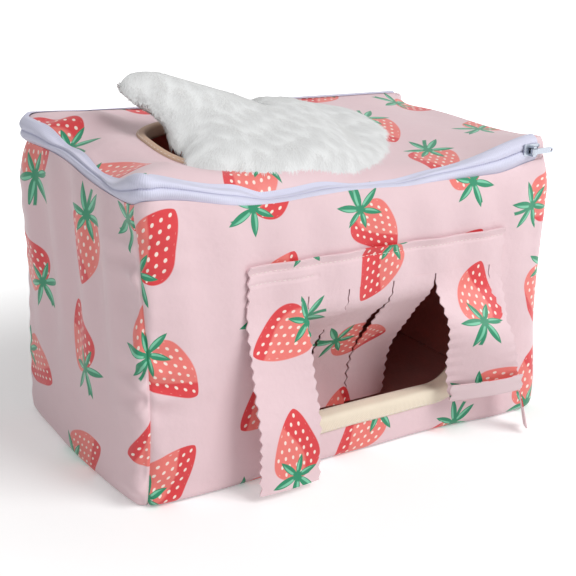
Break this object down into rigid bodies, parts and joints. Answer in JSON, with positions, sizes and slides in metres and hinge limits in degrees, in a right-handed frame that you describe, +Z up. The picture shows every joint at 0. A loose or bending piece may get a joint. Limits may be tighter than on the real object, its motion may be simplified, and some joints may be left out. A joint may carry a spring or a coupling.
{
  "type": "small animal hideout",
  "caption": "Padded fabric box hideout for a small animal, with a curtained doorway, a zipped lid that folds open on one side, a round lid hole and a plush mat.",
  "frame": {"origin": "middle of the base, on the floor", "axes": "+X to the right seen from the doorway side, -Y out of the doorway, +Z up"},
  "size_m": [0.3, 0.1857, 0.2276],
  "materials": {
    "printed_fabric": "pale pink coated fabric with a tossed strawberry print",
    "padding": "soft wadding",
    "base_board": "closed-cell foam board",
    "lining": "dusky rose fleece",
    "binding": "cream woven bias tape",
    "zip_tape": "white woven tape",
    "zip_coil": "white nylon coil",
    "zip_metal": "plated zinc",
    "plush": "white long-pile plush"
  },
  "bodies": {
    "box": {"front_panel": "printed_fabric", "back_panel": "printed_fabric", "left_panel": "printed_fabric", "right_panel": "printed_fabric", "base_panel": "printed_fabric", "front_padding": "padding", "back_padding": "padding", "left_padding": "padding", "right_padding": "padding", "base_board": "base_board", "front_lining": "lining", "back_lining": "lining", "left_lining": "lining", "right_lining": "lining", "base_lining": "lining", "entrance_binding": "binding", "curtain_header": "printed_fabric", "zip_tape_body": "zip_tape", "zip_coil_body": "zip_coil", "zip_stops_body": "zip_metal", "lid_hinge_strip": "printed_fabric"},
    "lid": {"lid_panel": "printed_fabric", "lid_padding": "padding", "lid_lining": "lining", "lid_hole_binding": "binding", "zip_tape_lid": "zip_tape", "zip_coil_lid": "zip_coil", "zip_stops_lid": "zip_metal"},
    "slider": {"zip_slider": "zip_metal"},
    "pull": {"zip_pull": "zip_metal"},
    "mat": {"plush_mat": "plush"},
    "strip_1": {"curtain_strip_1": "printed_fabric"},
    "strip_2": {"curtain_strip_2": "printed_fabric"},
    "strip_3": {"curtain_strip_3": "printed_fabric"},
    "strip_4": {"curtain_strip_4": "printed_fabric"},
    "strip_5": {"curtain_strip_5": "printed_fabric"},
    "strip_6": {"curtain_strip_6": "printed_fabric"}
  },
  "joints": [
    {"name": "lid_hinge", "type": "hinge", "parent": "box", "child": "lid", "pos_m": [0.14675, 0, 0.18795], "axis": [0, 1, 0], "range_deg": [0, 110]},
    {"name": "slider_run", "type": "slide", "parent": "box", "child": "slider", "axis": [-1, 0, 0], "range_m": [0, 0.258]},
    {"name": "pull_swing", "type": "hinge", "parent": "slider", "child": "pull", "pos_m": [0.1294, -0.08195, 0.1837], "axis": [0, 0, -1], "range_deg": [0, 180]},
    {"name": "mat_lift", "type": "slide", "parent": "lid", "child": "mat", "axis": [0, 0, 1], "range_m": [0, 0.12]},
    {"name": "strip_1_swing", "type": "hinge", "parent": "box", "child": "strip_1", "pos_m": [0, -0.0818, 0.11215], "axis": [-1, 0, 0], "range_deg": [-9, 60], "stiffness_Nm_per_rad": 0.02},
    {"name": "strip_2_swing", "type": "hinge", "parent": "box", "child": "strip_2", "pos_m": [0, -0.0818, 0.11215], "axis": [1, 0, 0], "range_deg": [0, 60], "stiffness_Nm_per_rad": 0.02},
    {"name": "strip_3_swing", "type": "hinge", "parent": "box", "child": "strip_3", "pos_m": [0, -0.0818, 0.11215], "axis": [1, 0, 0], "range_deg": [0, 60], "stiffness_Nm_per_rad": 0.02},
    {"name": "strip_4_swing", "type": "hinge", "parent": "box", "child": "strip_4", "pos_m": [0, -0.0818, 0.11215], "axis": [1, 0, 0], "range_deg": [0, 60], "stiffness_Nm_per_rad": 0.02},
    {"name": "strip_5_swing", "type": "hinge", "parent": "box", "child": "strip_5", "pos_m": [0, -0.0818, 0.11215], "axis": [-1, 0, 0], "range_deg": [-9, 60], "stiffness_Nm_per_rad": 0.02},
    {"name": "strip_6_swing", "type": "hinge", "parent": "box", "child": "strip_6", "pos_m": [0, -0.0818, 0.11215], "axis": [-1, 0, 0], "range_deg": [-9, 60], "stiffness_Nm_per_rad": 0.02}
  ]
}
